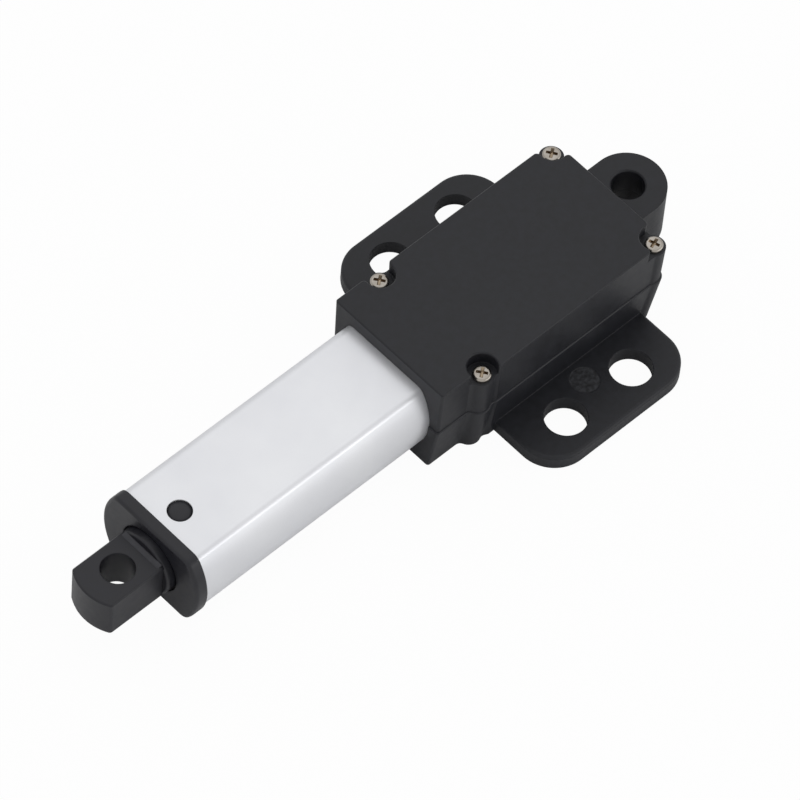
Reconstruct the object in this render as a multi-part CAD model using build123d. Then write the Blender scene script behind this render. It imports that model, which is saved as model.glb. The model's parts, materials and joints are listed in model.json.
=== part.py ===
from build123d import *
import math
import os

# A micro linear actuator, drawn retracted, in millimetres.
# The origin is the centre of the four base holes on the underside, +X points to the rod end,
# +Y is the wider side of the housing and +Z is up. The force line runs along X at y = 0,
# at the height of the plane where the two shells meet.

# Travel and pivots. Retracted, the eyes lie 50 mm plus the stroke apart
stroke = 30.0
pivot_to_housing = 4.2
pivot_hole_radius = 2.0
rod_eye_radius = 2.05

# Housing shells
lower_shell_height = 7.5
upper_shell_height = 7.5
shell_wall = 1.2
roof_thickness = 1.3
floor_thickness = 1.2
front_x = 20.8
motor_rear_gap = 0.6
tube_left_wall = 0.95
tube_right_wall = 1.65
step_width = 1.1
step_start_x = 12.6
step_length = 3.0
upper_inset = 0.2
parting_ledge = 0.15
foot_inset = 0.8
front_foot_inset = 0.3
lower_front_lead = 0.15
lid_edge_chamfer = 0.14
ledge_chamfer = 0.13
front_corner_radius = 0.35
cavity_draft = 0.12
cavity_foot_draft = 0.6
lip_width = 0.5
lip_height = 0.6
lip_gap = 0.06
lip_lap = 0.02

# Case screws, their wells and bosses
screw_front_x = 14.4
screw_rear_inset = 0.8
screw_left_inset = 0.7
screw_right_inset = 1.25
screw_head_radius = 1.12
screw_head_height = 0.62
screw_shank_radius = 0.65
screw_edge_radius = 0.34
screw_length = 9.0
screw_point_gap = 0.3
screw_thread_clearance = 0.02
screw_hole_clearance = 0.12
well_depth = 1.8
well_radius = 1.85
well_wall = 0.35
well_edge_radius = 0.5
step_edge_radius = 0.2
boss_radius = 1.5
boss_blend_radius = 0.8

# Base flanges
flange_half_length = 11.75
flange_half_width = 19.25
flange_thickness = 2.0
flange_corner_radius = 4.75
flange_edge_radius = 0.45
ejector_mark_radius = 1.8
ejector_mark_depth = 0.05
ejector_mark_gap = 0.2
base_hole_radius = 2.6
base_hole_half_pitch_x = 5.25
base_hole_half_pitch_y = 14.7

# Rear pivot lug
lug_radius = 4.62
lug_thickness = 7.4
pivot_chamfer = 0.2

# Aluminium tube
tube_start_x = 16.2
tube_half_height = 5.4
tube_side_radius = 9.1
tube_corner_radius = 1.1
tube_wall = 0.9
tube_fit = 0.04
key_length = 1.2
key_half_width = 2.0
key_offset = 1.8
key_root = 0.5
key_clearance = 0.08
snap_hole_radius = 1.5
snap_hole_setback = 2.8

# Front cap
cap_flange_thickness = 1.6
cap_flange_overhang = 0.27
cap_plug_length = 4.1
cap_edge_radius = 0.45
cap_to_eye = 4.9
rod_running_gap = 0.05
snap_stud_gap = 0.05
snap_stud_recess = 0.28
snap_stud_edge_radius = 0.2
wiper_width = 1.0
wiper_depth = 0.68
wiper_gap = 0.02
wiper_side_gap = 0.03
wiper_waist = 0.2
wiper_blade = 0.25
wiper_lip = 0.4
wiper_lip_gap = 0.1
cap_mouth_chamfer = 0.2

# Push rod and its end
cap_bush_wall = 0.21
rod_edge_chamfer = 0.2
rod_bore_radius = 2.35
rod_spigot_radius = 3.4
rod_spigot_length = 1.6
tongue_half_width = 3.35
tongue_half_height = 2.9
tongue_side_length = 7.8
tongue_nose = 1.0
tongue_edge_radius = 0.5
tongue_foot_radius = 0.4
tongue_top_chamfer = 0.15
eye_from_shoulder = 3.9
rod_end_spigot_length = 4.0
rod_end_pin_radius = 0.6
rod_end_pin_recess = 0.25
press_gap = 0.02

# Nut carrier and drive nut
carrier_length = 4.4
carrier_gap = 0.08
carrier_rear_gap = 0.4
carrier_end_gap = 0.3
carrier_switch_gap = 0.3
cam_board_gap = 0.2
cam_length = 0.8
cam_offset = 1.8
cam_half_height = 0.9
cam_root = 0.5
spigot_end_gap = 0.1
nut_radius = 3.0
nut_length = 2.6
nut_clearance = 0.05
nut_end_gap = 0.05

# Lead screw
screw_thread_radius = 1.95
screw_overrun = 1.0
screw_end_chamfer = 0.4
journal_radius = 1.5
tail_radius = 0.5
journal_lead = 0.2
bearing_shoulder_x = 15.6

# Ball bearing, its block and retainer
bearing_radius = 4.0
bearing_width = 3.0
bearing_race_thickness = 0.85
ball_radius = 0.6
ball_gap = 0.02
ball_count = 7
bearing_fit = 0.01
bearing_shoulder_gap = 0.2
block_board_gap = 0.3
block_right_y = 6.2
block_half_height = 5.5
block_corner_radius = 0.6
block_hole_radius = 2.6
retainer_inset = 0.4
block_seat_gap = 0.05
thrust_washer_radius = 2.3
thrust_washer_thickness = 0.4

# Gear train
gear_module = 0.25
pinion_teeth = 10
wheel_teeth = 24
tooth_fill = 0.42
addendum = 0.9
dedendum = 1.25
pressure_angle = 20.0
wheel_width = 0.8
gear_step = 1.5
pinion_width = 1.7
gear_axial_gap = 0.1
first_wheel_x = 3.9
last_pinion_width = 2.7
output_gear_width = 1.8
output_gear_x = 8.6
arbor_radius = 0.5
gear_bore_gap = 0.04
plate_thickness = 0.6
front_plate_x = 11.0
plate_board_gap = 0.6
plate_right_y = 8.0
plate_half_height = 5.0
plate_corner_radius = 1.5
plate_hole_gap = 0.1
pin_end_gap = 0.05
pillar_radius = 0.6
pillar_rib_gap = 0.15
pillar_half_spacing = 3.7
pillar_side_inset = 1.0
thrust_rib_thickness = 0.55
thrust_rib_half_opening = 3.8
thrust_rib_side_gap = 0.6

# Motor
motor_front_x = 2.8
motor_length = 14.2
motor_radius = 6.0
motor_half_height = 5.0
motor_can_wall = 0.5
motor_cap_thickness = 0.7
motor_cap_depth = 1.2
motor_cap_inset = 0.35
motor_cap_gap = 0.04
motor_shaft_radius = 0.4
motor_shaft_inset = 0.25
motor_bush_radius = 1.2
motor_bush_gap = 0.02
motor_bush_length = 1.4
motor_bush_inset = 0.2
motor_bush_depth = 0.9
motor_pinion_width = 1.2
motor_pinion_x = 3.8
magnet_inner_radius = 4.0
magnet_gap = 0.03
magnet_half_angle = 48.0
magnet_rear_gap = 3.1
magnet_front_gap = 2.6
armature_radius = 3.7
armature_rear_gap = 3.8
armature_front_gap = 3.4
pole_width = 1.4
pole_shoe_depth = 0.6
pole_shoe_half_angle = 46.0
hub_radius = 1.3
coil_half_width = 1.3
coil_overhang = 0.6
coil_gap = 0.06
coil_hub_gap = 0.2
coil_edge_radius = 0.4
commutator_radius = 1.15
commutator_length = 1.8
commutator_rear_gap = 1.4
commutator_slot = 0.2
commutator_slot_depth = 0.25
brush_gap = 0.03
brush_height = 0.7
brush_thickness = 0.5
brush_end_gap = 0.4
terminal_y = 3.0
terminal_half_width = 0.8
terminal_thickness = 0.3
terminal_height = 2.4
terminal_hole_radius = 0.35
terminal_hole_inset = 0.7

# Cradle ribs in the housing
cradle_rib_thickness = 1.0
cradle_rear_gap = 2.0
cradle_front_gap = 3.4
block_rib_x = 13.2
seat_gap = 0.06

# Limit switch board
rod_switch_gap = 0.4
board_tube_gap = 0.55
board_thickness = 0.6
board_half_height = 2.2
board_start_x = 9.9
board_slot_gap = 0.1
board_plug_depth = 1.2
board_end_gap = 0.1
switch_length = 1.6
switch_height = 1.0
switch_half_width = 1.1
switch_button_length = 0.35
switch_button_half = 0.35
switch_cam_gap = 0.1
diode_length = 1.3
diode_half_width = 0.45
diode_height = 0.6
diode_half_spacing = 1.1
diode_inset = 0.1

# Rubber gland for the lead
gland_y = 6.1
gland_z = 4.5
gland_flange_radius = 1.3
gland_neck_radius = 0.95
gland_bore_radius = 0.55
gland_flange_thickness = 0.6
gland_web = 0.8
gland_recess = 0.3
gland_flange_bevel = 0.25
gland_inner_flange = 0.4
gland_spot_gap = 0.1

# Places worked out from the sizes above
axis_z = lower_shell_height
housing_height = lower_shell_height + upper_shell_height
motor_rear_x = motor_front_x - motor_length
cap_back_x = motor_rear_x - motor_cap_thickness
rear_x = cap_back_x - motor_rear_gap - shell_wall
screw_rear_x = rear_x + screw_rear_inset
rear_pivot_x = rear_x - pivot_to_housing
gland_seat_x = rear_x + gland_recess
magnet_start_x = motor_rear_x + magnet_rear_gap
magnet_length = motor_front_x - magnet_front_gap - magnet_start_x
armature_start_x = motor_rear_x + armature_rear_gap
armature_length = motor_front_x - armature_front_gap - armature_start_x
commutator_start_x = motor_rear_x + commutator_rear_gap
cradle_rear_x = motor_rear_x + cradle_rear_gap
cradle_front_x = motor_front_x - cradle_front_gap
carrier_x = tube_start_x + carrier_rear_gap
carrier_front_x = carrier_x + carrier_length
plug_rear_x = carrier_front_x + stroke + carrier_end_gap
cap_rear_x = plug_rear_x + cap_plug_length
cap_front_x = cap_rear_x + cap_flange_thickness
rod_eye_x = cap_front_x + cap_to_eye
rod_shoulder_x = rod_eye_x - eye_from_shoulder
rod_radius = tube_half_height - tube_wall - tube_fit - cap_bush_wall - rod_running_gap
board_y = -(rod_radius + rod_switch_gap + switch_height)
tube_half_width = board_thickness + board_tube_gap + tube_wall - board_y
left_y = -(tube_half_width + tube_left_wall)
right_front_y = tube_half_width + tube_right_wall
right_rear_y = right_front_y + step_width
screw_left_y = left_y + screw_left_inset
screw_right_y = right_rear_y - screw_right_inset
ejector_mark_y = right_rear_y + ejector_mark_gap + ejector_mark_radius
carrier_side_y = board_y + switch_height + carrier_switch_gap
block_left_y = board_y + block_board_gap
plate_left_y = board_y + plate_board_gap
snap_x = cap_rear_x - snap_hole_setback
screw_seat_z = housing_height - well_depth
seat_inset = upper_inset * well_depth / upper_shell_height
plate_end_x = front_plate_x + plate_thickness
ball_pitch_radius = (journal_radius + bearing_radius) / 2
centre_distance = gear_module * (pinion_teeth + wheel_teeth) / 2
bearing_rear_x = bearing_shoulder_x - bearing_width - bearing_shoulder_gap
cam_x = carrier_x + cam_offset
screw_spots = [(x, y) for x in (screw_front_x, screw_rear_x) for y in (screw_left_y, screw_right_y)]


# How far a cutting shape runs past the face that it opens
past = 1.0


def box_between(x0, x1, y0, y1, z0, z1):
    middle = Pos((x0 + x1) / 2, (y0 + y1) / 2, (z0 + z1) / 2)
    return middle * Box(x1 - x0, y1 - y0, z1 - z0)


# A sketch drawn as (y, z) is run along X
def along_x(sketch, start, end, y=0.0, z=axis_z):
    plane = Plane(origin=(start, y, z), x_dir=(0, 1, 0), z_dir=(1, 0, 0))
    return extrude(plane * sketch, end - start)


def round_x(radius, start, end, y=0.0, z=axis_z):
    return along_x(Circle(radius), start, end, y, z)


# A hole along X that runs past both of its faces
def bore_x(radius, start, end, y=0.0, z=axis_z):
    return round_x(radius, start - past, end + past, y, z)


def upright(radius, bottom, top, x=0.0, y=0.0):
    return Pos(x, y, (bottom + top) / 2) * Cylinder(radius, top - bottom)


# A profile of (x, r) points turned about the force line
def turned(points, y=0.0, z=axis_z):
    face = make_face(Polyline(*points, close=True))
    about = Plane(origin=(0, y, z), x_dir=(1, 0, 0), z_dir=(0, -1, 0))
    return revolve(about * face, Axis((0, y, z), (1, 0, 0)), 360)


def tube_section(grow):
    side = Circle(tube_side_radius + grow)
    offset_y = tube_half_width - tube_side_radius
    plate = Rectangle(2 * (tube_half_width + grow) + past, 2 * (tube_half_height + grow))
    section = plate & (Pos(offset_y, 0) * side) & (Pos(-offset_y, 0) * side)
    corners = [v for v in section.vertices() if abs(v.Y) > tube_half_height / 2]
    return fillet(corners, max(tube_corner_radius + grow, 0.2))


def motor_section(grow):
    return Circle(motor_radius + grow) & Rectangle(4 * motor_radius, 2 * (motor_half_height + grow))


# Outline of the housing seen from above, grown outward by a given amount
def housing_plan(z, grow, front, step_grow=0.0):
    step_end_x = step_start_x + step_length
    points = [
        (front, left_y - grow),
        (front, right_front_y + grow + step_grow),
        (step_end_x, right_front_y + grow + step_grow),
        (step_start_x, right_rear_y + grow),
        (rear_x - grow, right_rear_y + grow),
        (rear_x - grow, left_y - grow),
    ]
    return Pos(0, 0, z) * make_face(Polyline(*points, close=True))


def rounded_front(face, radius):
    foremost = face.vertices().group_by(Axis.X)[-1]
    return fillet(foremost, radius)


# The bosses lean inward with the walls, and blend into them. An edge cut narrows the whole outline
def walls_plan(z, inset, front, front_inset=0.0, edge=0.0):
    face = housing_plan(0, -inset - edge, front - edge, -front_inset)
    face = rounded_front(face, front_corner_radius - edge)
    radius = boss_radius - edge
    spots = []
    for x, y in screw_spots:
        lean = inset + (front_inset if x > 0 and y > 0 else 0.0)
        spots.append((x if x > 0 else x + inset, y - lean if y > 0 else y + lean))
    for x, y in spots:
        face += Pos(x, y) * Circle(radius)
    joins = [v for v in face.vertices() if on_circle(v, spots, radius)]
    return Pos(0, 0, z) * fillet(joins, boss_blend_radius + edge)


def on_circle(vertex, centres, radius):
    return any(abs(math.hypot(vertex.X - x, vertex.Y - y) - radius) < 0.001 for x, y in centres)


# The lid is cut away round each screw head
def lid_plan(z, inset, edge=0.0):
    face = housing_plan(0, -inset - edge, front_x - edge)
    face = rounded_front(face, front_corner_radius - edge)
    radius = well_radius + edge
    for x, y in screw_spots:
        face -= Pos(x, y) * Circle(radius)
    rims = [v for v in face.vertices() if on_circle(v, screw_spots, radius) and min(v.X, v.Y) < 0]
    face = fillet(rims, well_edge_radius - edge)
    near_step = [v for v in face.vertices() if on_circle(v, screw_spots, radius) and min(v.X, v.Y) > 0]
    return Pos(0, 0, z) * fillet(near_step, step_edge_radius - edge)


# Outline of the space inside the walls, which ends where the tube starts
def cavity_plan(z, grow, margin=0.0, end=tube_start_x):
    inner = offset(housing_plan(z, grow, front_x), margin - shell_wall, kind=Kind.INTERSECTION)
    reach = end - rear_x + 2 * shell_wall
    window = Pos(end - reach / 2, 0, z) * Rectangle(reach, 4 * right_rear_y)
    return inner & window


def boss_columns(radius, bottom, top):
    return [upright(radius, bottom, top, x, y) for x, y in screw_spots]


# Ribs that stand in the cavity, each with the pocket of what it holds
def cavity_ribs(bottom, top):
    def plate(x, thickness):
        return box_between(x, x + thickness, 2 * left_y, 2 * right_rear_y, bottom, top)

    motor_pocket = along_x(motor_section(seat_gap), rear_x, motor_front_x)
    ribs = []
    for x in (cradle_rear_x, cradle_front_x):
        ribs.append(plate(x, cradle_rib_thickness) - motor_pocket)
    thrust_x = front_plate_x - seat_gap - thrust_rib_thickness
    thrust = plate(thrust_x, thrust_rib_thickness)
    thrust -= box_between(
        thrust_x - past, front_plate_x, left_y + shell_wall, plate_right_y + thrust_rib_side_gap,
        axis_z - thrust_rib_half_opening, axis_z + thrust_rib_half_opening,
    )
    for y, z in pillar_spots():
        thrust -= round_x(pillar_radius + pillar_rib_gap, thrust_x - past, front_plate_x, y, z)
    ribs.append(thrust)
    block = plate(block_rib_x, cradle_rib_thickness)
    block -= box_between(
        rear_x, tube_start_x, block_left_y - seat_gap, block_right_y + seat_gap,
        axis_z - block_half_height - seat_gap, axis_z + block_half_height + seat_gap,
    )
    ribs.append(block)
    return ribs


def board_slot():
    return box_between(
        board_start_x - board_slot_gap, tube_start_x + board_slot_gap,
        board_y - board_thickness - board_slot_gap, board_y + board_slot_gap,
        axis_z - board_half_height - board_slot_gap, axis_z + board_half_height + board_slot_gap,
    )


def tube_pocket():
    return along_x(tube_section(tube_fit), tube_start_x, front_x + past)


# Small tabs in both shells that stop the tube from sliding
def tube_key(inner_z, outer_z, gap):
    start = tube_start_x + key_offset
    half = key_half_width + gap
    low, high = min(inner_z, outer_z), max(inner_z, outer_z)
    return box_between(start - gap, start + key_length + gap, -half, half, low, high)


def lug_half(bottom, top):
    pad = Pos(rear_pivot_x, 0) * Circle(lug_radius)
    reach = rear_x + shell_wall / 2 - rear_pivot_x
    pad += Pos(rear_pivot_x + reach / 2, 0) * Rectangle(reach, 2 * lug_radius)
    return extrude(Pos(0, 0, bottom) * pad, top - bottom)


def pivot_bore():
    half = lug_thickness / 2
    bore = upright(pivot_hole_radius, axis_z - half - past, axis_z + half + past, rear_pivot_x)
    for side in (-1, 1):
        start = Pos(rear_pivot_x, 0, axis_z + side * half)
        cone = Cone(pivot_hole_radius + 2 * pivot_chamfer, pivot_hole_radius, 2 * pivot_chamfer)
        turn = Rot(0, 0, 0) if side < 0 else Rot(180, 0, 0)
        bore += start * turn * cone
    return bore


# The lip runs round the cavity on the lower shell and enters a recess in the upper one
def parting_lip(margin, height, boss_gap):
    end = tube_start_x - shell_wall
    ring = extrude(cavity_plan(axis_z, 0, margin, end), height)
    ring -= extrude(cavity_plan(axis_z, 0, -lip_lap, end + past), height)
    for column in boss_columns(well_radius + well_wall + boss_gap, axis_z, axis_z + height):
        ring -= column
    ring -= board_slot()
    return ring


def make_upper_shell():
    body = loft([walls_plan(axis_z, upper_inset, front_x), walls_plan(screw_seat_z, seat_inset, front_x)],
                ruled=True)
    lid_edge_z = housing_height - lid_edge_chamfer
    body += loft([lid_plan(screw_seat_z, seat_inset), lid_plan(lid_edge_z, 0)], ruled=True)
    body += loft([lid_plan(lid_edge_z, 0), lid_plan(housing_height, 0, lid_edge_chamfer)], ruled=True)
    body += lug_half(axis_z, axis_z + lug_thickness / 2)
    roof_z = housing_height - roof_thickness
    space = loft([cavity_plan(axis_z, 0), cavity_plan(roof_z, -cavity_draft)], ruled=True)
    for column in boss_columns(well_radius + well_wall, axis_z, roof_z):
        space -= column
    for rib in cavity_ribs(axis_z, roof_z):
        space -= rib
    body -= space
    body -= parting_lip(lip_width + lip_gap, lip_height + lip_gap, 0.0)
    body -= board_slot()
    body -= tube_pocket()
    body += tube_key(axis_z + tube_half_height - tube_wall, axis_z + tube_half_height + key_root, 0.0)
    body -= pivot_bore()
    for hole in boss_columns(screw_shank_radius + screw_hole_clearance, axis_z - past, housing_height):
        body -= hole
    return body


def make_lower_shell():
    lower_front_x = front_x + lower_front_lead
    ledge_inset = upper_inset - parting_ledge
    ledge_z = axis_z - ledge_chamfer
    body = loft([walls_plan(0, foot_inset, lower_front_x, front_foot_inset),
                 walls_plan(ledge_z, ledge_inset, lower_front_x)], ruled=True)
    body += loft([walls_plan(ledge_z, ledge_inset, lower_front_x),
                  walls_plan(axis_z, ledge_inset, lower_front_x, 0, ledge_chamfer)], ruled=True)
    flange = RectangleRounded(2 * flange_half_length, 2 * flange_half_width, flange_corner_radius)
    plate = extrude(flange, flange_thickness)
    plate = fillet(plate.edges().group_by(Axis.Z)[-1], flange_edge_radius)
    body += plate
    body += lug_half(axis_z - lug_thickness / 2, axis_z)
    space = loft([cavity_plan(floor_thickness, -cavity_foot_draft), cavity_plan(axis_z, 0)], ruled=True)
    for column in boss_columns(well_radius + well_wall, floor_thickness, axis_z):
        space -= column
    for rib in cavity_ribs(floor_thickness, axis_z):
        space -= rib
    body -= space
    body += parting_lip(lip_width, lip_height, lip_gap)
    body -= board_slot()
    body -= tube_pocket()
    body += tube_key(axis_z - tube_half_height + tube_wall, axis_z - tube_half_height - key_root, 0.0)
    body -= pivot_bore()
    pilot = screw_shank_radius + screw_thread_clearance
    for hole in boss_columns(pilot, screw_seat_z - screw_length - screw_point_gap, axis_z + past):
        body -= hole
    for x in (-base_hole_half_pitch_x, base_hole_half_pitch_x):
        for y in (-base_hole_half_pitch_y, base_hole_half_pitch_y):
            body -= upright(base_hole_radius, -past, flange_thickness + past, x, y)
    mark_z = flange_thickness - ejector_mark_depth
    for y in (-ejector_mark_y, ejector_mark_y):
        body -= upright(ejector_mark_radius, mark_z, flange_thickness + past, 0, y)
    web_end = gland_seat_x + gland_web
    body -= bore_x(gland_neck_radius, rear_x, web_end, gland_y, gland_z)
    spot = gland_flange_radius + gland_spot_gap
    body -= round_x(spot, rear_x - past, gland_seat_x, gland_y, gland_z)
    body -= round_x(spot, web_end, web_end + past, gland_y, gland_z)
    return body


def make_housing_screws():
    head_top = screw_seat_z + screw_head_height
    screws = []
    for x, y in screw_spots:
        head = upright(screw_head_radius, screw_seat_z, head_top, x, y)
        head = fillet(head.edges().group_by(Axis.Z)[-1], screw_edge_radius)
        screws.append(head + upright(screw_shank_radius, screw_seat_z - screw_length, screw_seat_z, x, y))
    return Compound(children=screws)


def make_outer_tube():
    tube = along_x(tube_section(0), tube_start_x, cap_rear_x)
    tube -= along_x(tube_section(-tube_wall), tube_start_x - past, cap_rear_x + past)
    for side in (-1, 1):
        inner = axis_z + side * (tube_half_height - tube_wall - past)
        outer = axis_z + side * (tube_half_height + past)
        tube -= tube_key(inner, outer, key_clearance)
    tube -= upright(snap_hole_radius, -past, housing_height + past, snap_x)
    return tube


def make_front_cap():
    flange = along_x(tube_section(cap_flange_overhang), cap_rear_x, cap_front_x)
    flange = fillet(flange.edges().group_by(Axis.X)[-1], cap_edge_radius)
    plug = along_x(tube_section(-tube_wall - tube_fit), plug_rear_x, cap_rear_x)
    stud_top = tube_half_height - snap_stud_recess
    stud = upright(snap_hole_radius - snap_stud_gap, axis_z - stud_top, axis_z + stud_top, snap_x)
    stud = fillet(stud.edges().filter_by(GeomType.CIRCLE), snap_stud_edge_radius)
    body = flange + plug + stud
    bore = rod_radius + rod_running_gap
    wiper_front = cap_front_x - wiper_lip
    wiper_rear = wiper_front - wiper_width
    groove = bore + wiper_depth
    mouth = bore + cap_mouth_chamfer
    body -= turned([
        (plug_rear_x - past, 0), (plug_rear_x - past, bore), (wiper_rear, bore), (wiper_rear, groove),
        (wiper_front, groove), (wiper_front, bore + wiper_lip_gap), (cap_front_x, mouth),
        (cap_front_x + past, mouth), (cap_front_x + past, 0),
    ])
    body -= box_between(
        plug_rear_x - past, plug_rear_x + board_plug_depth,
        board_y - board_thickness - board_slot_gap, board_y + board_slot_gap,
        axis_z - board_half_height - board_slot_gap, axis_z + board_half_height + board_slot_gap,
    )
    return body


def make_wiper_ring():
    front = cap_front_x - wiper_lip - wiper_side_gap
    rear = front - wiper_width + 2 * wiper_side_gap
    inner = rod_radius + wiper_gap
    outer = rod_radius + rod_running_gap + wiper_depth - wiper_side_gap
    waist = inner + wiper_waist
    return turned([
        (rear, waist), (rear, outer), (front, outer), (front, inner),
        (front - wiper_blade, inner), ((front + rear) / 2, waist),
    ])


def make_push_rod():
    rod = round_x(rod_radius, carrier_front_x, rod_shoulder_x)
    rod = chamfer(rod.edges().group_by(Axis.X)[-1], rod_edge_chamfer)
    rod += round_x(rod_spigot_radius, carrier_front_x - rod_spigot_length, carrier_front_x)
    rod -= round_x(rod_bore_radius, carrier_x, rod_shoulder_x + past)
    rod -= rod_end_pin_hole()
    return rod


def rod_end_pin_hole():
    x = rod_shoulder_x - rod_end_spigot_length / 2
    reach = rod_radius + past
    return upright(rod_end_pin_radius + press_gap, axis_z - reach, axis_z + reach, x)


# Edges round the lowest or highest face of the tongue, apart from those at the rod's shoulder
def free_edges(tongue, level):
    edges = tongue.edges().filter_by(Plane.XY).group_by(Axis.Z)[level]
    return [edge for edge in edges if edge.center().X > rod_shoulder_x + tongue_foot_radius]


def make_rod_end():
    side_x = rod_shoulder_x + tongue_side_length
    half = tongue_half_width
    outline = Polyline((side_x, half), (rod_shoulder_x, half), (rod_shoulder_x, -half), (side_x, -half))
    nose = ThreePointArc((side_x, -half), (side_x + tongue_nose, 0), (side_x, half))
    face = make_face(outline + nose)
    tongue = extrude(Pos(0, 0, axis_z - tongue_half_height) * face, 2 * tongue_half_height)
    corners = tongue.edges().filter_by(Axis.Z).group_by(Axis.X)[-1]
    tongue = fillet(corners, tongue_edge_radius)
    tongue = fillet(free_edges(tongue, 0), tongue_foot_radius)
    tongue = chamfer(free_edges(tongue, -1), tongue_top_chamfer)
    tongue += round_x(rod_bore_radius - press_gap, rod_shoulder_x - rod_end_spigot_length, rod_shoulder_x)
    tongue -= upright(rod_eye_radius, -past, housing_height, rod_eye_x)
    tongue -= rod_end_pin_hole()
    return tongue


def make_rod_end_pin():
    x = rod_shoulder_x - rod_end_spigot_length / 2
    reach = rod_radius - rod_end_pin_recess
    return upright(rod_end_pin_radius, axis_z - reach, axis_z + reach, x)


def make_nut_carrier():
    body = along_x(tube_section(-tube_wall - carrier_gap), carrier_x, carrier_front_x)
    body -= box_between(
        carrier_x - past, carrier_front_x + past, 2 * left_y, carrier_side_y, 0, housing_height,
    )
    body += box_between(
        cam_x, cam_x + cam_length, board_y + cam_board_gap, carrier_side_y + cam_root,
        axis_z - cam_half_height, axis_z + cam_half_height,
    )
    body -= bore_x(rod_bore_radius, carrier_x, carrier_front_x)
    body -= round_x(nut_radius + press_gap, carrier_x - past, carrier_x + nut_length)
    spigot = rod_spigot_radius + press_gap
    body -= round_x(spigot, carrier_front_x - rod_spigot_length - spigot_end_gap, carrier_front_x + past)
    return body


def make_drive_nut():
    nut = round_x(nut_radius, carrier_x, carrier_x + nut_length - nut_end_gap)
    return nut - bore_x(screw_thread_radius + nut_clearance, carrier_x, carrier_x + nut_length)


def make_lead_screw():
    thread_end_x = carrier_front_x + stroke - screw_overrun
    tail_x = first_wheel_x + gear_step - gear_axial_gap
    journal_x = output_gear_x - journal_lead
    screw = round_x(screw_thread_radius, bearing_shoulder_x, thread_end_x)
    screw = chamfer(screw.edges().group_by(Axis.X)[-1], screw_end_chamfer)
    screw += round_x(journal_radius, journal_x, bearing_shoulder_x)
    screw += round_x(tail_radius, tail_x, journal_x)
    return screw


# One tooth shape in polar form: an involute flank held by three radii
def gear_section(teeth):
    pitch_radius = gear_module * teeth / 2
    base_radius = pitch_radius * math.cos(math.radians(pressure_angle))
    tip_radius = pitch_radius + addendum * gear_module
    root_radius = pitch_radius - dedendum * gear_module

    def involute(radius):
        ratio = min(base_radius / radius, 1.0)
        angle = math.acos(ratio)
        return math.tan(angle) - angle

    pitch_half = tooth_fill * math.pi / teeth
    base_half = pitch_half + involute(pitch_radius)
    tip_half = base_half - involute(tip_radius)
    flank = [(root_radius, base_half), (pitch_radius, pitch_half), (tip_radius, tip_half)]
    points = []
    for tooth in range(teeth):
        middle = 2 * math.pi * tooth / teeth
        profile = [(r, middle - a) for r, a in flank] + [(r, middle + a) for r, a in reversed(flank)]
        points += [(r * math.cos(a), r * math.sin(a)) for r, a in profile]
    return make_face(Polyline(*points, close=True))


def gear_at(teeth, turn, start, width, y):
    return along_x(Rot(0, 0, turn) * gear_section(teeth), start, start + width, y)


# Half a tooth turns a wheel so that a gap faces the pinion that drives it
half_tooth = 180.0 / wheel_teeth


# A compound gear has its wheel at the motor's end and its pinion towards the screw
def make_compound_gear(index, y, wheel_turn, pinion_turn, pinion_length, hole_radius):
    start = first_wheel_x + index * gear_step
    body = gear_at(wheel_teeth, wheel_turn, start, wheel_width, y)
    body += gear_at(pinion_teeth, pinion_turn, start + wheel_width, pinion_length, y)
    return body - bore_x(hole_radius, start, start + wheel_width + pinion_length, y)


def make_output_gear():
    body = gear_at(wheel_teeth, half_tooth, output_gear_x, output_gear_width, 0)
    return body - bore_x(journal_radius + press_gap, output_gear_x, output_gear_x + output_gear_width)


def make_motor_pinion():
    body = gear_at(pinion_teeth, 0, motor_pinion_x, motor_pinion_width, 0)
    return body - bore_x(motor_shaft_radius + press_gap, motor_pinion_x, motor_pinion_x + motor_pinion_width)


def gear_plate_blank(start, thickness):
    middle_y = (plate_left_y + plate_right_y) / 2
    outline = RectangleRounded(plate_right_y - plate_left_y, 2 * plate_half_height, plate_corner_radius)
    return along_x(outline, start, start + thickness, middle_y)


def pillar_spots():
    return [(y, axis_z + side * pillar_half_spacing)
            for y in (plate_left_y + pillar_side_inset, plate_right_y - pillar_side_inset)
            for side in (-1, 1)]


def make_gear_plate(start, middle_radius):
    plate = gear_plate_blank(start, plate_thickness)
    end = start + plate_thickness
    plate -= bore_x(middle_radius, start, end)
    plate -= bore_x(arbor_radius + press_gap, start, end, centre_distance)
    for y, z in pillar_spots():
        plate -= bore_x(pillar_radius / 2 + press_gap, start, end, y, z)
    return plate


def make_gear_pillars():
    rear = motor_front_x
    pillars = []
    for y, z in pillar_spots():
        post = round_x(pillar_radius, rear + plate_thickness, front_plate_x, y, z)
        post += round_x(pillar_radius / 2, rear + pin_end_gap, plate_end_x - pin_end_gap, y, z)
        pillars.append(post)
    return Compound(children=pillars)


def make_gear_arbor():
    return round_x(arbor_radius, motor_front_x + pin_end_gap, plate_end_x - pin_end_gap, centre_distance)


def block_section(inset):
    height = 2 * (block_half_height - inset)
    outline = RectangleRounded(block_right_y - block_left_y, height, block_corner_radius)
    return Pos((block_left_y + block_right_y) / 2, 0) * outline


def make_bearing_block():
    front = tube_start_x - block_seat_gap
    block = along_x(block_section(0), bearing_rear_x, front)
    block -= round_x(bearing_radius + bearing_fit, bearing_rear_x - past, bearing_rear_x + bearing_width)
    block -= round_x(block_hole_radius, bearing_rear_x, front + past)
    return block


def make_bearing_retainer():
    retainer = along_x(block_section(retainer_inset), plate_end_x, bearing_rear_x)
    return retainer - bore_x(block_hole_radius, plate_end_x, bearing_rear_x)


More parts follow.
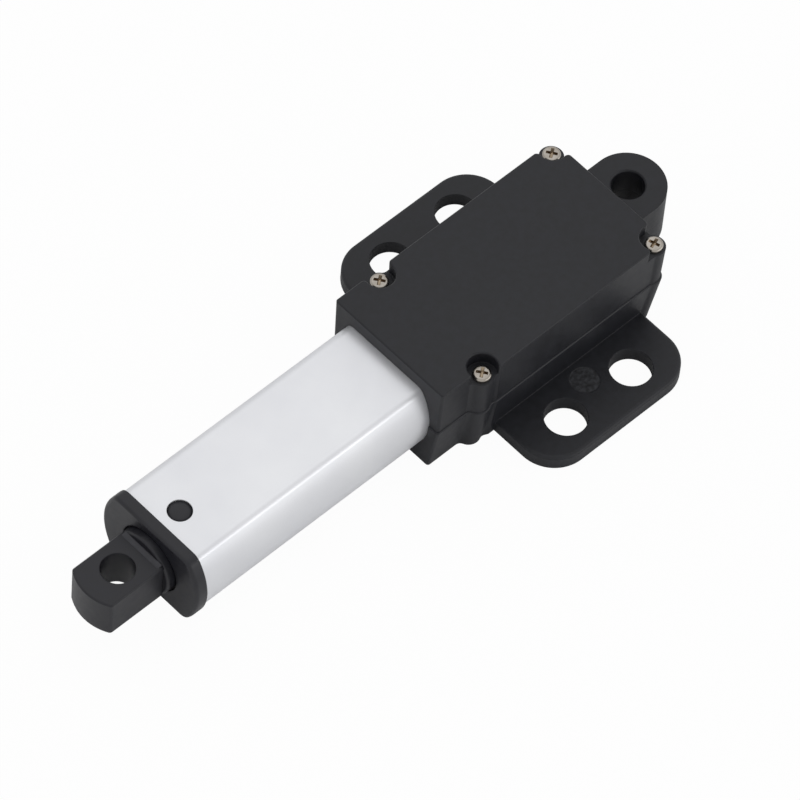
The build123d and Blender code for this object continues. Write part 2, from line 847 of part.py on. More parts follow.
def ball_groove():
    middle = bearing_rear_x + bearing_width / 2
    ring = Plane(origin=(middle, 0, axis_z), x_dir=(0, 1, 0), z_dir=(1, 0, 0))
    return ring * Torus(ball_pitch_radius, ball_radius + ball_gap)


def make_bearing_inner_race():
    end = bearing_rear_x + bearing_width
    race = round_x(journal_radius + bearing_race_thickness, bearing_rear_x, end)
    race -= bore_x(journal_radius + bearing_fit, bearing_rear_x, end)
    return race - ball_groove()


def make_bearing_outer_race():
    end = bearing_rear_x + bearing_width
    race = round_x(bearing_radius, bearing_rear_x, end)
    race -= bore_x(bearing_radius - bearing_race_thickness, bearing_rear_x, end)
    return race - ball_groove()


def make_bearing_balls():
    middle = bearing_rear_x + bearing_width / 2
    balls = []
    for index in range(ball_count):
        angle = 2 * math.pi * index / ball_count
        y = ball_pitch_radius * math.cos(angle)
        z = axis_z + ball_pitch_radius * math.sin(angle)
        balls.append(Pos(middle, y, z) * Sphere(ball_radius))
    return Compound(children=balls)


def make_thrust_washer():
    start = bearing_rear_x - thrust_washer_thickness
    washer = round_x(thrust_washer_radius, start, bearing_rear_x)
    return washer - bore_x(journal_radius + bearing_fit, start, bearing_rear_x)


def make_motor_can():
    can = along_x(motor_section(0), motor_rear_x, motor_front_x)
    can -= along_x(motor_section(-motor_can_wall), motor_rear_x - past, motor_front_x - motor_can_wall)
    return can - bore_x(motor_bush_radius, motor_front_x - motor_can_wall, motor_front_x)


def make_motor_end_cap():
    plug_end = motor_rear_x + motor_cap_depth
    cap = along_x(motor_section(-motor_cap_inset), cap_back_x, motor_rear_x)
    cap += along_x(motor_section(-motor_can_wall - motor_cap_gap), motor_rear_x, plug_end)
    return cap - bore_x(motor_bush_radius, cap_back_x, plug_end)


def motor_bush(start):
    end = start + motor_bush_length
    bush = round_x(motor_bush_radius - press_gap, start, end)
    return bush - bore_x(motor_shaft_radius + motor_bush_gap, start, end)


def make_motor_bushes():
    starts = (cap_back_x + motor_bush_inset, motor_front_x - motor_bush_depth)
    return Compound(children=[motor_bush(start) for start in starts])


def make_motor_terminals():
    rear = cap_back_x - terminal_thickness
    top = axis_z + terminal_height / 2
    tabs = []
    for side in (-1, 1):
        y = side * terminal_y
        tab = box_between(rear, cap_back_x, y - terminal_half_width, y + terminal_half_width,
                          top - terminal_height, top)
        tabs.append(tab - bore_x(terminal_hole_radius, rear, cap_back_x, y, top - terminal_hole_inset))
    return Compound(children=tabs)


# A ring sector in the (y, z) plane, centred on a direction in degrees
def ring_sector(inner, outer, middle, half_angle):
    reach = 3 * outer
    low = math.radians(middle - half_angle)
    high = math.radians(middle + half_angle)
    fan = [(0, 0), (reach * math.cos(low), reach * math.sin(low)),
           (reach * math.cos(math.radians(middle)), reach * math.sin(math.radians(middle))),
           (reach * math.cos(high), reach * math.sin(high))]
    ring = Circle(outer) - Circle(inner)
    return ring & make_face(Polyline(*fan, close=True))


def make_motor_magnets():
    outer = motor_radius - motor_can_wall - magnet_gap
    magnets = []
    for middle in (0, 180):
        arc = ring_sector(magnet_inner_radius, outer, middle, magnet_half_angle)
        magnets.append(along_x(arc, magnet_start_x, magnet_start_x + magnet_length))
    return Compound(children=magnets)


def make_motor_brushes():
    rear = motor_rear_x + motor_cap_depth
    front = commutator_start_x + commutator_length - brush_end_gap
    half = brush_height / 2
    brushes = []
    for side in (-1, 1):
        near = commutator_radius + brush_gap
        low, high = sorted((side * near, side * (near + brush_thickness)))
        brushes.append(box_between(rear, front, low, high, axis_z - half, axis_z + half))
    return Compound(children=brushes)


def make_motor_shaft():
    return round_x(motor_shaft_radius, cap_back_x + motor_shaft_inset, motor_pinion_x + motor_pinion_width)


def make_armature_core():
    section = Circle(hub_radius)
    arm_reach = armature_radius - pole_shoe_depth / 2
    for pole in range(3):
        section += Rot(0, 0, 120 * pole) * (Pos(arm_reach / 2, 0) * Rectangle(arm_reach, pole_width))
        inner = armature_radius - pole_shoe_depth
        section += ring_sector(inner, armature_radius, 120 * pole, pole_shoe_half_angle)
    end = armature_start_x + armature_length
    core = along_x(section, armature_start_x, end)
    return core - bore_x(motor_shaft_radius + press_gap, armature_start_x, end)


def make_armature_windings():
    inner = hub_radius + coil_hub_gap
    shoe_inside = armature_radius - pole_shoe_depth - coil_gap
    outer = math.sqrt(shoe_inside ** 2 - coil_half_width ** 2)
    start = armature_start_x - coil_overhang
    end = armature_start_x + armature_length + coil_overhang
    coil = box_between(start, end, inner, outer, -coil_half_width, coil_half_width)
    coil = fillet(coil.edges().filter_by(Axis.Y), coil_edge_radius)
    coil -= box_between(armature_start_x - coil_gap, armature_start_x + armature_length + coil_gap,
                        inner - past, outer + past, -pole_width / 2 - coil_gap, pole_width / 2 + coil_gap)
    return Compound(children=[Pos(0, 0, axis_z) * Rot(120 * pole, 0, 0) * coil for pole in range(3)])


def make_commutator():
    end = commutator_start_x + commutator_length
    body = round_x(commutator_radius, commutator_start_x, end)
    body -= bore_x(motor_shaft_radius + press_gap, commutator_start_x, end)
    slot_section = Pos(commutator_radius, 0) * Rectangle(2 * commutator_slot_depth, commutator_slot)
    for slot in range(3):
        cut = along_x(slot_section, commutator_start_x - past, end + past)
        body -= cut.rotate(Axis((0, 0, axis_z), (1, 0, 0)), 120 * slot + 60)
    return body


def make_switch_board():
    end = plug_rear_x + board_plug_depth - board_end_gap
    return box_between(
        board_start_x, end, board_y - board_thickness, board_y,
        axis_z - board_half_height, axis_z + board_half_height,
    )


# A switch lies on the board's inner face and its button points to the cam
def make_limit_switch(cam_face_x, toward):
    button_tip = cam_face_x - toward * switch_cam_gap
    body_face = button_tip - toward * switch_button_length
    low, high = sorted((body_face, body_face - toward * switch_length))
    body = box_between(low, high, board_y, board_y + switch_height,
                       axis_z - switch_half_width, axis_z + switch_half_width)
    low, high = sorted((body_face, button_tip))
    middle_y = board_y + switch_height / 2
    body += box_between(low, high, middle_y - switch_button_half, middle_y + switch_button_half,
                        axis_z - switch_button_half, axis_z + switch_button_half)
    return body


def make_board_diodes():
    start = board_start_x + diode_inset
    outside = board_y - board_thickness
    diodes = []
    for side in (-1, 1):
        z = axis_z + side * diode_half_spacing
        diodes.append(box_between(
            start, start + diode_length, outside - diode_height, outside,
            z - diode_half_width, z + diode_half_width,
        ))
    return Compound(children=diodes)


def make_wire_gland():
    start = gland_seat_x - gland_flange_thickness
    web_end = gland_seat_x + gland_web
    end = web_end + gland_inner_flange
    neck = gland_neck_radius - press_gap
    return turned([
        (start, gland_bore_radius), (start, gland_flange_radius - gland_flange_bevel),
        (start + gland_flange_bevel, gland_flange_radius),
        (gland_seat_x, gland_flange_radius), (gland_seat_x, neck), (web_end, neck),
        (web_end, gland_flange_radius), (end, gland_flange_radius), (end, gland_bore_radius),
    ], gland_y, gland_z)


parts = {
    "upper_shell": make_upper_shell(),
    "lower_shell": make_lower_shell(),
    "housing_screws": make_housing_screws(),
    "outer_tube": make_outer_tube(),
    "front_cap": make_front_cap(),
    "wiper_ring": make_wiper_ring(),
    "wire_gland": make_wire_gland(),
    "push_rod": make_push_rod(),
    "rod_end": make_rod_end(),
    "rod_end_pin": make_rod_end_pin(),
    "nut_carrier": make_nut_carrier(),
    "drive_nut": make_drive_nut(),
    "lead_screw": make_lead_screw(),
    "output_gear": make_output_gear(),
    "thrust_washer": make_thrust_washer(),
    "bearing_inner_race": make_bearing_inner_race(),
    "bearing_outer_race": make_bearing_outer_race(),
    "bearing_balls": make_bearing_balls(),
    "bearing_block": make_bearing_block(),
    "bearing_retainer": make_bearing_retainer(),
    "compound_gear_1": make_compound_gear(
        0, centre_distance, 180 + half_tooth, 180, pinion_width, arbor_radius + gear_bore_gap),
    "compound_gear_2": make_compound_gear(
        1, 0, half_tooth, 0, pinion_width, tail_radius + gear_bore_gap),
    "compound_gear_3": make_compound_gear(
        2, centre_distance, 180 + half_tooth, 180, last_pinion_width, arbor_radius + gear_bore_gap),
    "gear_arbor": make_gear_arbor(),
    "gear_plate_rear": make_gear_plate(motor_front_x, motor_bush_radius + plate_hole_gap),
    "gear_plate_front": make_gear_plate(front_plate_x, journal_radius + plate_hole_gap),
    "gear_pillars": make_gear_pillars(),
    "motor_can": make_motor_can(),
    "motor_end_cap": make_motor_end_cap(),
    "motor_bushes": make_motor_bushes(),
    "motor_terminals": make_motor_terminals(),
    "motor_magnets": make_motor_magnets(),
    "motor_brushes": make_motor_brushes(),
    "motor_shaft": make_motor_shaft(),
    "armature_core": make_armature_core(),
    "armature_windings": make_armature_windings(),
    "commutator": make_commutator(),
    "motor_pinion": make_motor_pinion(),
    "switch_board": make_switch_board(),
    "rear_limit_switch": make_limit_switch(cam_x, 1),
    "front_limit_switch": make_limit_switch(cam_x + cam_length + stroke, -1),
    "board_diodes": make_board_diodes(),
}

os.makedirs("parts", exist_ok=True)
for name, shape in parts.items():
    export_step(shape, "parts/" + name + ".step")
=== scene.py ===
import json
import math

import bmesh
import bpy
from mathutils import Matrix, Vector


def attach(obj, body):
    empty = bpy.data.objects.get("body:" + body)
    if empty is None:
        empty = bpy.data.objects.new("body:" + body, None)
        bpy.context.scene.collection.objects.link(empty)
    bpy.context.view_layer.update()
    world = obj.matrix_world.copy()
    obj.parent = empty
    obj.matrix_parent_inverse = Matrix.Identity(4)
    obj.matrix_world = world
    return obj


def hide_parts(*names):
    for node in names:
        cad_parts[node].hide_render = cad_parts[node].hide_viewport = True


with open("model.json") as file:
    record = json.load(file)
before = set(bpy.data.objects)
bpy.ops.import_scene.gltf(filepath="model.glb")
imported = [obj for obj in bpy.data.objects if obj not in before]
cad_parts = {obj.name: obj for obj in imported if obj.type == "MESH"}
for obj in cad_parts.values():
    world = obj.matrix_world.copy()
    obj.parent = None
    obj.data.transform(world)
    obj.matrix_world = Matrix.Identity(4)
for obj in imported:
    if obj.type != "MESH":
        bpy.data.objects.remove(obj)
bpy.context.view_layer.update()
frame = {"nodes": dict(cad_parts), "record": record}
nodes = frame["nodes"]
mm = 0.001
scene = bpy.context.scene
scene.view_settings.view_transform = "Standard"


# Colour and node helpers
def toLinear(hexColour):
    parts = [int(hexColour[start:start + 2], 16) / 255 for start in (1, 3, 5)]
    return [part / 12.92 if part <= 0.04045 else ((part + 0.055) / 1.055) ** 2.4 for part in parts] + [1.0]


def addNode(tree, kind, values=None, links=None, **settings):
    node = tree.nodes.new(kind)
    for name, value in settings.items():
        setattr(node, name, value)
    for socket, value in (values or {}).items():
        node.inputs[socket].default_value = value
    for socket, source in (links or {}).items():
        tree.links.new(source, node.inputs[socket])
    return node


def newMaterial(name):
    material = bpy.data.materials.new(name)
    material.use_nodes = True
    tree = material.node_tree
    tree.nodes.clear()
    output = addNode(tree, "ShaderNodeOutputMaterial")
    place = addNode(tree, "ShaderNodeTexCoord").outputs["Object"]
    return material, tree, output, place


# Most of a noise lies between these two values, so its limits are reached there
noiseSpan = {"low": 0.3, "high": 0.7}


# Two tones of one colour, mixed by a noise of a real size in millimetres
def twoTones(tree, place, light, dark, size):
    noise = addNode(tree, "ShaderNodeTexNoise", {"Scale": 1 / (size * mm), "Detail": 3.0},
                    {"Vector": place})
    tones = addNode(tree, "ShaderNodeValToRGB", None, {"Fac": noise.outputs["Fac"]})
    for element, end, tone in zip(tones.color_ramp.elements, ("low", "high"), (dark, light)):
        element.position = noiseSpan[end]
        element.color = toLinear(tone)
    return tones.outputs["Color"]


def noiseBetween(tree, place, size, low, high):
    noise = addNode(tree, "ShaderNodeTexNoise", {"Scale": 1 / (size * mm), "Detail": 2.0},
                    {"Vector": place})
    limits = {"From Min": noiseSpan["low"], "From Max": noiseSpan["high"], "To Min": low, "To Max": high}
    span = addNode(tree, "ShaderNodeMapRange", limits, {"Value": noise.outputs["Fac"]})
    return span.outputs["Result"]


# Normals rounded over the edges and roughened by a grain of a real size in millimetres
def grainedNormal(tree, place, settings):
    edge = addNode(tree, "ShaderNodeBevel", {"Radius": settings["edgeRadius"] * mm},
                   samples=settings["edgeSamples"])
    grain = addNode(tree, "ShaderNodeTexNoise",
                    {"Scale": 1 / (settings["grain"] * mm), "Detail": settings["grainDetail"]},
                    {"Vector": place})
    bump = addNode(tree, "ShaderNodeBump",
                   {"Strength": settings["grainStrength"], "Distance": settings["grainDepth"] * mm},
                   {"Height": grain.outputs["Fac"], "Normal": edge.outputs["Normal"]})
    return bump.outputs["Normal"]


# Glass-filled nylon from a spark-eroded mould: near black, satin, with a fine even grain
mouldedNylon = {
    "light": "#1a1b21", "dark": "#111217", "mottle": 0.9, "roughLow": 0.46, "roughHigh": 0.52,
    "grain": 0.16, "grainDetail": 2.0, "grainDepth": 0.012, "grainStrength": 0.5,
    "edgeRadius": 0.17, "edgeSamples": 6, "ior": 1.45,
}
# The two marks that the ejector pins leave on the flanges: rougher, and speckled paler
ejectorMarks = {
    "y": 12.4, "radius": 1.8, "lowest": 1.0, "light": "#38393d", "dark": "#141417", "roughness": 0.62,
    "grain": 0.45, "grainDepth": 0.1, "grainStrength": 0.6,
}


# 1 on the marks and 0 elsewhere
def markMask(tree, place, settings):
    parts = addNode(tree, "ShaderNodeSeparateXYZ", None, {0: place})
    side = addNode(tree, "ShaderNodeMath", None, {0: parts.outputs["Y"]}, operation="ABSOLUTE")
    across = addNode(tree, "ShaderNodeMath", {1: settings["y"] * mm}, {0: side.outputs[0]},
                     operation="SUBTRACT")
    offset = addNode(tree, "ShaderNodeCombineXYZ", None, {"X": parts.outputs["X"], "Y": across.outputs[0]})
    reach = addNode(tree, "ShaderNodeVectorMath", None, {0: offset.outputs[0]}, operation="LENGTH")
    inside = addNode(tree, "ShaderNodeMath", {1: settings["radius"] * mm}, {0: reach.outputs["Value"]},
                     operation="LESS_THAN")
    above = addNode(tree, "ShaderNodeMath", {1: settings["lowest"] * mm}, {0: parts.outputs["Z"]},
                    operation="GREATER_THAN")
    return addNode(tree, "ShaderNodeMath", None, {0: inside.outputs[0], 1: above.outputs[0]},
                   operation="MULTIPLY").outputs[0]


# The Mix node keeps its number sockets at 2 and 3 and its colour sockets at 6 and 7, with the
# colour result at 2
def addMarks(tree, place, settings, colour, rough, normal):
    mask = markMask(tree, place, settings)
    speckle = twoTones(tree, place, settings["light"], settings["dark"], settings["grain"])
    tone = addNode(tree, "ShaderNodeMix", None, {0: mask, 6: colour, 7: speckle}, data_type="RGBA")
    rough = addNode(tree, "ShaderNodeMix", {3: settings["roughness"]}, {0: mask, 2: rough},
                    data_type="FLOAT")
    pits = addNode(tree, "ShaderNodeTexNoise", {"Scale": 1 / (settings["grain"] * mm), "Detail": 3.0},
                   {"Vector": place})
    height = addNode(tree, "ShaderNodeMath", None, {0: pits.outputs["Fac"], 1: mask}, operation="MULTIPLY")
    bump = addNode(tree, "ShaderNodeBump",
                   {"Strength": settings["grainStrength"], "Distance": settings["grainDepth"] * mm},
                   {"Height": height.outputs[0], "Normal": normal})
    return tone.outputs[2], rough.outputs[0], bump.outputs["Normal"]


def mouldedPlastic(name, settings, marks=None):
    material, tree, output, place = newMaterial(name)
    colour = twoTones(tree, place, settings["light"], settings["dark"], settings["mottle"])
    rough = noiseBetween(tree, place, settings["mottle"], settings["roughLow"], settings["roughHigh"])
    normal = grainedNormal(tree, place, settings)
    if marks:
        colour, rough, normal = addMarks(tree, place, marks, colour, rough, normal)
    shader = addNode(tree, "ShaderNodeBsdfPrincipled", {"IOR": settings["ior"]},
                     {"Base Color": colour, "Roughness": rough, "Normal": normal})
    tree.links.new(shader.outputs["BSDF"], output.inputs["Surface"])
    return material


# Extruded aluminium, bead blasted and clear anodised: satin silver with a fine sparkle. The
# blasting scatters much of the light, so it is less than fully metallic
anodisedTube = {
    "light": "#eaebee", "dark": "#e4e5e9", "mottle": 9.0, "roughMottle": 3.0,
    "roughLow": 0.35, "roughHigh": 0.41, "metallic": 0.65, "edgeRadius": 0.1, "edgeSamples": 8,
    "grain": 0.16, "grainDetail": 2.0, "grainDepth": 0.012, "grainStrength": 0.4,
}
# Metal of the mechanism and the screws, with fine tool marks
machinedMetal = {
    "mottle": 2.4, "roughMottle": 0.9, "grain": 0.3, "grainDetail": 4.0, "grainDepth": 0.004,
    "grainStrength": 0.25, "edgeRadius": 0.04, "edgeSamples": 6, "metallic": 1.0,
}
# The same with finer marks, as on plated and pressed pieces
fineMetal = dict(machinedMetal, mottle=0.96, roughMottle=0.36, grain=0.12)


def metalFinish(name, settings):
    material, tree, output, place = newMaterial(name)
    colour = twoTones(tree, place, settings["light"], settings["dark"], settings["mottle"])
    rough = noiseBetween(tree, place, settings["roughMottle"], settings["roughLow"], settings["roughHigh"])
    normal = grainedNormal(tree, place, settings)
    shader = addNode(tree, "ShaderNodeBsdfPrincipled", {"Metallic": settings["metallic"]},
                     {"Base Color": colour, "Roughness": rough, "Normal": normal})
    tree.links.new(shader.outputs["BSDF"], output.inputs["Surface"])
    return material


# Materials
nylonShell = mouldedPlastic("mouldedGlassNylon", mouldedNylon, ejectorMarks)
# Acetal from a polished mould: black and a little glossier than the nylon
blackAcetal = dict(mouldedNylon, light="#1a1a21", dark="#15151b", roughLow=0.38, roughHigh=0.44,
                   grain=0.2, grainDepth=0.006, edgeRadius=0.26, ior=1.47)
acetalBlack = mouldedPlastic("mouldedBlackAcetal", blackAcetal)
# The same acetal painted paler, as a painted highlight for the lit ramps at the tongue's shoulder, and a
# little smoother
acetalPaintedLit = mouldedPlastic("blackAcetalPaintedHighlight", dict(
    blackAcetal, light="#303036", dark="#26262c", roughLow=0.36, roughHigh=0.42, edgeRadius=0.1))
# Nitrile rubber: black and dull
rubberSeal = mouldedPlastic("mouldedNitrileRubber", dict(
    mouldedNylon, light="#171718", dark="#141415", roughLow=0.6, roughHigh=0.75, edgeRadius=0.05))
# Acetal without pigment: milky white
naturalAcetal = mouldedPlastic("mouldedNaturalAcetal", dict(
    mouldedNylon, light="#e6e3da", dark="#dedbd1", edgeRadius=0.08))
# Nylon with a grey pigment: even and satin
greyNylon = mouldedPlastic("mouldedGreyNylon", dict(
    mouldedNylon, light="#6f7072", dark="#66676a", edgeRadius=0.08))
# Glass epoxy board under a green solder mask: smooth and half glossy
boardLaminate = mouldedPlastic("etchedBoardLaminate", dict(
    mouldedNylon, light="#1f5a3a", dark="#1a4f33", roughLow=0.3, roughHigh=0.4, edgeRadius=0.04))
# Epoxy of switches and diodes: black and smooth
componentEpoxy = mouldedPlastic("mouldedEpoxy", dict(
    mouldedNylon, light="#232324", dark="#1d1d1e", roughLow=0.25, roughHigh=0.35, edgeRadius=0.04))
tubeMetal = metalFinish("anodisedAluminium", anodisedTube)
# Nickel plate on steel: warm silver, bright
nickelSteel = metalFinish("nickelPlatedSteel", dict(
    fineMetal, light="#b9b3ab", dark="#a39c93", roughLow=0.19, roughHigh=0.31))
# The pressed recess of a screw is coloured brownish and a little darker than the head
brownishRecessNickel = metalFinish("brownishRecessNickelSteel", dict(
    fineMetal, light="#b5a48e", dark="#94846f", roughLow=0.29, roughHigh=0.41))
# Steel turned on a lathe: cool grey and satin
turnedSteel = metalFinish("turnedSteel", dict(
    machinedMetal, light="#c4c5c8", dark="#b2b3b6", roughLow=0.25, roughHigh=0.37))
# Bearing balls: ground and polished, nearly a mirror
polishedSteel = metalFinish("polishedBearingSteel", dict(
    machinedMetal, light="#dcdde0", dark="#cfd0d3", roughLow=0.07, roughHigh=0.19))
# Brass cut by a hob or stamped: yellow and satin
hobbedBrass = metalFinish("hobbedBrass", dict(
    machinedMetal, light="#d9b36a", dark="#c7a058", roughLow=0.25, roughHigh=0.37))
# Copper wire under clear enamel: red brown, with a satin gloss
woundCopper = metalFinish("enamelledCopper", dict(
    machinedMetal, light="#c8764a", dark="#a95f38", roughLow=0.3, roughHigh=0.42,
    mottle=1.2, roughMottle=0.45, grain=0.15))
# Pressed and sintered magnets: dark grey and dull
sinteredFerrite = metalFinish("sinteredFerrite", dict(
    machinedMetal, light="#3c3b3c", dark="#303031", roughLow=0.55, roughHigh=0.67,
    mottle=0.8, roughMottle=0.3, grain=0.1))

slotMaterials = {
    "shell_plastic": nylonShell, "cap_plastic": acetalBlack, "rod_plastic": acetalBlack,
    "tube_aluminium": tubeMetal, "screw_steel": nickelSteel, "seal_rubber": rubberSeal,
    "steel": turnedSteel, "ball_steel": polishedSteel, "gear_brass": hobbedBrass,
    "plate_brass": hobbedBrass, "block_plastic": greyNylon, "carrier_acetal": naturalAcetal,
    "motor_steel": turnedSteel, "motor_cap_plastic": naturalAcetal, "ferrite": sinteredFerrite,
    "copper": woundCopper, "board_green": boardLaminate, "component_black": componentEpoxy,
}
for part in frame["record"]["subparts"]:
    mesh = nodes[part["node"]].data
    mesh.materials.clear()
    mesh.materials.append(slotMaterials[part["material_slot"]])
print("materials done")


# Mesh helpers
sharpAngle = 35
weldReach = 1e-7


# Turns a profile of (radius, z) points in millimetres about the Z axis
def turnProfile(points, segments):
    mesh = bmesh.new()
    corners = [mesh.verts.new((r * mm, 0, z * mm)) for r, z in points]
    for first, second in zip(corners, corners[1:]):
        mesh.edges.new((first, second))
    bmesh.ops.spin(mesh, geom=mesh.verts[:] + mesh.edges[:], cent=(0, 0, 0), axis=(0, 0, 1),
                   angle=math.tau, steps=segments, use_merge=True)
    bmesh.ops.remove_doubles(mesh, verts=mesh.verts, dist=weldReach)
    bmesh.ops.recalc_face_normals(mesh, faces=mesh.faces)
    return mesh


# Adds the mirror image below z = 0 and lifts both to their place
def mirrorBelow(mesh, lift):
    bmesh.ops.mirror(mesh, geom=mesh.verts[:] + mesh.edges[:] + mesh.faces[:], axis="Z", merge_dist=0)
    bmesh.ops.recalc_face_normals(mesh, faces=mesh.faces)
    bmesh.ops.translate(mesh, verts=mesh.verts, vec=[distance * mm for distance in lift])


def toObject(mesh, name, *materials):
    data = bpy.data.meshes.new(name)
    mesh.to_mesh(data)
    mesh.free()
    obj = bpy.data.objects.new(name, data)
    bpy.context.collection.objects.link(obj)
    for material in materials:
        data.materials.append(material)
    for face in data.polygons:
        face.use_smooth = True
    data.set_sharp_from_angle(angle=math.radians(sharpAngle))
    return obj


# Case screws with a crowned head and a cross recess. Each place is x, y and the turn of the cross
caseScrew = {
    "headRadius": 1.12, "headHeight": 0.62, "crown": 0.05, "rimHeight": 0.26, "edgeReach": 0.36,
    "edgeSteps": 6, "shankRadius": 0.65, "length": 9.0, "pointLength": 0.5, "pointShare": 0.6,
    "armLength": 0.76, "armWidth": 0.2, "footLength": 0.34, "footWidth": 0.12, "recessDepth": 0.5,
    "cutterRise": 0.01, "seatZ": 13.2, "segments": 64,
    "places": ((14.4, -7.9, 36), (14.4, 9.15, 37), (-13.1, -7.9, 34.5), (-13.1, 9.15, 17)),
}


# A plus-shaped plug that narrows downwards, with its wide end just above the head. It is cut
# from a grid of three by three squares
def makeCrossCutter(settings):
    square = mm
    mesh = bmesh.new()
    bmesh.ops.create_grid(mesh, x_segments=3, y_segments=3, size=1.5 * square)
    corners = [face for face in mesh.faces
               if min(abs(part) for part in face.calc_center_median()[:2]) > square / 2]
    bmesh.ops.delete(mesh, geom=corners, context="FACES")
    lowered = bmesh.ops.extrude_face_region(mesh, geom=mesh.faces[:])["geom"]
    foot = {part for part in lowered if isinstance(part, bmesh.types.BMVert)}
    top = settings["headHeight"] + settings["cutterRise"]
    floor = settings["headHeight"] - settings["recessDepth"]
    for vert in mesh.verts:
        low = vert in foot
        length, width = ("footLength", "footWidth") if low else ("armLength", "armWidth")
        for axis in (0, 1):
            size = settings[length if abs(vert.co[axis]) > square else width]
            vert.co[axis] = math.copysign(size * mm, vert.co[axis])
        vert.co.z = (floor if low else top) * mm
    bmesh.ops.recalc_face_normals(mesh, faces=mesh.faces)
    for face in mesh.faces:
        face.material_index = 1
    return toObject(mesh, "crossCutter", nickelSteel, brownishRecessNickel)


def makeCaseScrew(settings):
    length, shank, head = settings["length"], settings["shankRadius"], settings["headRadius"]
    profile = [(0, -length), (shank * settings["pointShare"], -length),
               (shank, settings["pointLength"] - length), (shank, 0), (head, 0),
               (head, settings["rimHeight"])]
    rise = settings["headHeight"] - settings["crown"] - settings["rimHeight"]
    for step in range(1, settings["edgeSteps"] + 1):
        angle = math.pi / 2 * step / settings["edgeSteps"]
        profile.append((head - settings["edgeReach"] * (1 - math.cos(angle)),
                        settings["rimHeight"] + rise * math.sin(angle)))
    profile.append((0, settings["headHeight"]))
    screw = toObject(turnProfile(profile, settings["segments"]), "caseScrew", nickelSteel, brownishRecessNickel)
    cross = makeCrossCutter(settings)
    cut = screw.modifiers.new("cross", "BOOLEAN")
    cut.object = cross
    cut.operation = "DIFFERENCE"
    cut.solver = "EXACT"
    graph = bpy.context.evaluated_depsgraph_get()
    data = bpy.data.meshes.new_from_object(screw.evaluated_get(graph))
    for obj in (screw, cross):
        bpy.data.objects.remove(obj)
    return data


def makeCaseScrews(settings):
    master = makeCaseScrew(settings)
    whole = bmesh.new()
    for x, y, turn in settings["places"]:
        one = master.copy()
        one.transform(Matrix.Translation((x * mm, y * mm, settings["seatZ"] * mm))
                      @ Matrix.Rotation(math.radians(turn), 4, "Z"))
        whole.from_mesh(one)
        bpy.data.meshes.remove(one)
    bpy.data.meshes.remove(master)
    return toObject(whole, "caseScrews", nickelSteel, brownishRecessNickel)


screws = makeCaseScrews(caseScrew)
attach(screws, "housing")
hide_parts("housing_screws")
print("case screws done")


# The low domes on the ends of the cap's two snap studs, which fill the tube's holes
snapStud = {
    "x": 52.6, "axisZ": 7.5, "radius": 1.48, "baseZ": 5.2, "height": 0.19, "rings": 10, "segments": 64,
}


def makeSnapStuds(settings):
    profile = [(0, settings["baseZ"])]
    for ring in range(settings["rings"] + 1):
        share = 1 - ring / settings["rings"]
        rise = settings["height"] * (1 - share ** 2)
        profile.append((settings["radius"] * share, settings["baseZ"] + rise))
    mesh = turnProfile(profile, settings["segments"])
    mirrorBelow(mesh, (settings["x"], 0, settings["axisZ"]))
    return toObject(mesh, "snapStudEnds", acetalBlack)


snapStuds = makeSnapStuds(snapStud)
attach(snapStuds, "housing")
print("snap studs done")


# The low ramps where the tongue's flats run up to the round shoulder of the rod
shoulderRamp = {
    "rearX": 57.96, "frontX": 58.62, "halfWidth": 3.05, "axisZ": 7.5,
    "sunkZ": 2.77, "frontZ": 2.91, "rearZ": 3.19, "edgeRound": 0.08,
}


def makeShoulderRamps(settings):
    mesh = bmesh.new()
    bmesh.ops.create_cube(mesh, size=1.0)
    for vert in mesh.verts:
        end = "front" if vert.co.x > 0 else "rear"
        vert.co.x = settings[end + "X"] * mm
        vert.co.y *= 2 * settings["halfWidth"] * mm
        vert.co.z = settings[end + "Z" if vert.co.z > 0 else "sunkZ"] * mm
    bmesh.ops.bevel(mesh, geom=mesh.edges[:], offset=settings["edgeRound"] * mm, offset_type="OFFSET",
                    segments=2, profile=0.5, affect="EDGES", material=-1, clamp_overlap=True)
    mirrorBelow(mesh, (0, 0, settings["axisZ"]))
    # The ramps take the acetal painted paler: a painted highlight where they face the light from above
    return toObject(mesh, "shoulderRamps", acetalPaintedLit)


shoulderRamps = makeShoulderRamps(shoulderRamp)
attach(shoulderRamps, "rod")
print("shoulder ramps done")


# Floor, light and camera. The floor lies a hair low, so that it and the underside don't share a plane
stageSettings = {
    "floorSize": 3.0, "floorDrop": 0.02, "floorColour": "#e9e9e9", "whiteShare": 0.96,
    "worldStrength": 0.78, "glossStrength": 0.74, "lampAim": (0.02, 0, 0),
}
overheadLamp = {"power": 0.95, "shape": "DISK", "width": 1.2, "height": 1.2, "place": (-0.15, -0.25, 0.8)}
# A low strip that lights the upper part of the tube's side
fillLamp = {"power": 1.7, "shape": "RECTANGLE", "width": 1.1, "height": 0.36, "place": (-0.42, 0.93, 0.2)}
viewSettings = {
    "target": (20.867, 2.876, 7.5), "azimuth": 42.091, "elevation": 55.462, "roll": -5.557,
    "distance": 883.95, "lens": 347.57, "nearClip": 0.01,
}
white = (1, 1, 1, 1)


# 1 for the kinds of ray that are named and 0 for the others
def rayMask(tree, *names):
    path = addNode(tree, "ShaderNodeLightPath")
    seen = path.outputs[names[0]]
    for name in names[1:]:
        seen = addNode(tree, "ShaderNodeMath", None, {0: seen, 1: path.outputs[name]},
                       operation="MAXIMUM").outputs[0]
    return seen


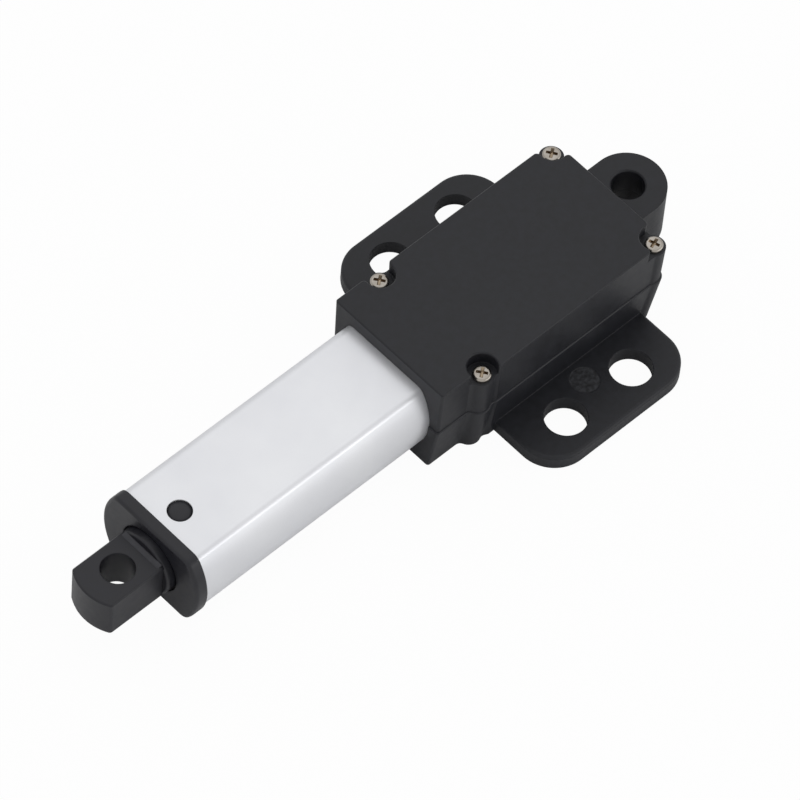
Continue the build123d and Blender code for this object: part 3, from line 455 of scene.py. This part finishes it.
def makeFloor(settings):
    mesh = bmesh.new()
    bmesh.ops.create_grid(mesh, x_segments=1, y_segments=1, size=settings["floorSize"])
    bmesh.ops.translate(mesh, verts=mesh.verts, vec=(0, 0, -settings["floorDrop"] * mm))
    material, tree, output, place = newMaterial("paintedFloor")
    matt = addNode(tree, "ShaderNodeBsdfDiffuse", {"Color": toLinear(settings["floorColour"])})
    glow = addNode(tree, "ShaderNodeEmission", {"Color": white, "Strength": 1.0})
    share = addNode(tree, "ShaderNodeMath", {1: settings["whiteShare"]}, {0: rayMask(tree, "Is Camera Ray")},
                    operation="MULTIPLY")
    mix = addNode(tree, "ShaderNodeMixShader", None,
                  {0: share.outputs[0], 1: matt.outputs["BSDF"], 2: glow.outputs["Emission"]})
    tree.links.new(mix.outputs[0], output.inputs["Surface"])
    floor = toObject(mesh, "floor", material)


def makeWorld(settings):
    world = bpy.data.worlds.new("studio")
    scene.world = world
    world.use_nodes = True
    tree = world.node_tree
    tree.nodes.clear()
    plain, gloss, seen = [
        addNode(tree, "ShaderNodeBackground", {"Color": white, "Strength": strength}).outputs[0]
        for strength in (settings["worldStrength"], settings["glossStrength"], 1.0)]
    shiny = addNode(tree, "ShaderNodeMixShader", None,
                    {0: rayMask(tree, "Is Glossy Ray", "Is Transmission Ray"), 1: plain, 2: gloss})
    mix = addNode(tree, "ShaderNodeMixShader", None,
                  {0: rayMask(tree, "Is Camera Ray"), 1: shiny.outputs[0], 2: seen})
    output = addNode(tree, "ShaderNodeOutputWorld")
    tree.links.new(mix.outputs[0], output.inputs["Surface"])


def addLamp(name, settings, aim):
    lamp = bpy.data.lights.new(name, "AREA")
    lamp.energy = settings["power"]
    lamp.shape = settings["shape"]
    lamp.size = settings["width"]
    lamp.size_y = settings["height"]
    obj = bpy.data.objects.new(name, lamp)
    bpy.context.collection.objects.link(obj)
    obj.location = settings["place"]
    toAim = Vector(aim) - Vector(settings["place"])
    obj.rotation_euler = toAim.to_track_quat("-Z", "Y").to_euler()


def makeCamera(settings):
    angles = [settings[angle] for angle in ("azimuth", "elevation", "roll")]
    azimuth, elevation, roll = [math.radians(angle) for angle in angles]
    back = Vector((math.cos(elevation) * math.cos(azimuth), math.cos(elevation) * math.sin(azimuth),
                   math.sin(elevation)))
    side = Vector((0, 0, 1)).cross(back).normalized()
    rise = back.cross(side)
    up = rise * math.cos(roll) + side * math.sin(roll)
    right = side * math.cos(roll) - rise * math.sin(roll)
    place = (Vector(settings["target"]) + back * settings["distance"]) * mm
    lens = bpy.data.cameras.new("camera")
    lens.lens = settings["lens"]
    lens.clip_start = settings["nearClip"]
    camera = bpy.data.objects.new("camera", lens)
    bpy.context.collection.objects.link(camera)
    turn = Matrix((right, up, back)).transposed().to_4x4()
    camera.matrix_world = Matrix.Translation(place) @ turn
    scene.camera = camera


makeFloor(stageSettings)
makeWorld(stageSettings)
addLamp("overhead", overheadLamp, stageSettings["lampAim"])
addLamp("fill", fillLamp, stageSettings["lampAim"])
makeCamera(viewSettings)
print("stage done")
